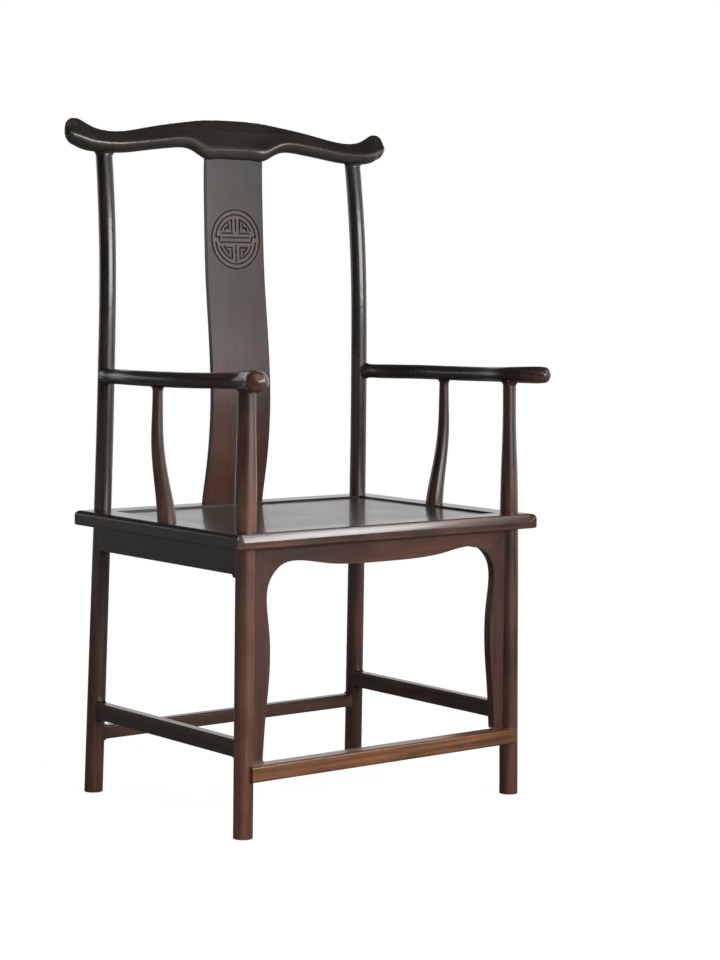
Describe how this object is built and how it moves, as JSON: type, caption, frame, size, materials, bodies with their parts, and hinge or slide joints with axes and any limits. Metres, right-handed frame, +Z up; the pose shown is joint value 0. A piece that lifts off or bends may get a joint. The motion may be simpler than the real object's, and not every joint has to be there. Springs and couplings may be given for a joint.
{
  "type": "official hat chair",
  "caption": "Hardwood armchair with a waved crest rail and arms that run out past their posts, a curved splat with a carved roundel, a framed panel seat and a footrest.",
  "frame": {"origin": "centre of the chair's bounding box at floor level", "axes": "+X to the right for someone facing the front of the chair, -Y to the front, +Z up"},
  "size_m": [0.6946, 0.5181, 1.1676],
  "materials": {
    "frame_wood": "dark red-brown hardwood, waxed to a soft gloss",
    "seat_wood": "dark hardwood panel, polished glossy",
    "footrest_wood": "hardwood rubbed to a warm orange-brown, satin"
  },
  "bodies": {
    "root": {"crest_rail": "frame_wood", "back_post_left": "frame_wood", "back_post_right": "frame_wood", "back_splat": "frame_wood", "armrest_left": "frame_wood", "armrest_right": "frame_wood", "front_post_left": "frame_wood", "front_post_right": "frame_wood", "side_spindle_left": "frame_wood", "side_spindle_right": "frame_wood", "seat_rail_front": "frame_wood", "seat_rail_rear": "frame_wood", "seat_rail_left": "frame_wood", "seat_rail_right": "frame_wood", "seat_panel": "seat_wood", "seat_batten_left": "frame_wood", "seat_batten_right": "frame_wood", "front_apron_top": "frame_wood", "front_apron_left": "frame_wood", "front_apron_right": "frame_wood", "side_apron_left": "frame_wood", "side_apron_right": "frame_wood", "rear_apron": "frame_wood", "footrest": "footrest_wood", "side_stretcher_left": "frame_wood", "side_stretcher_right": "frame_wood", "rear_stretcher": "frame_wood"}
  },
  "joints": []
}
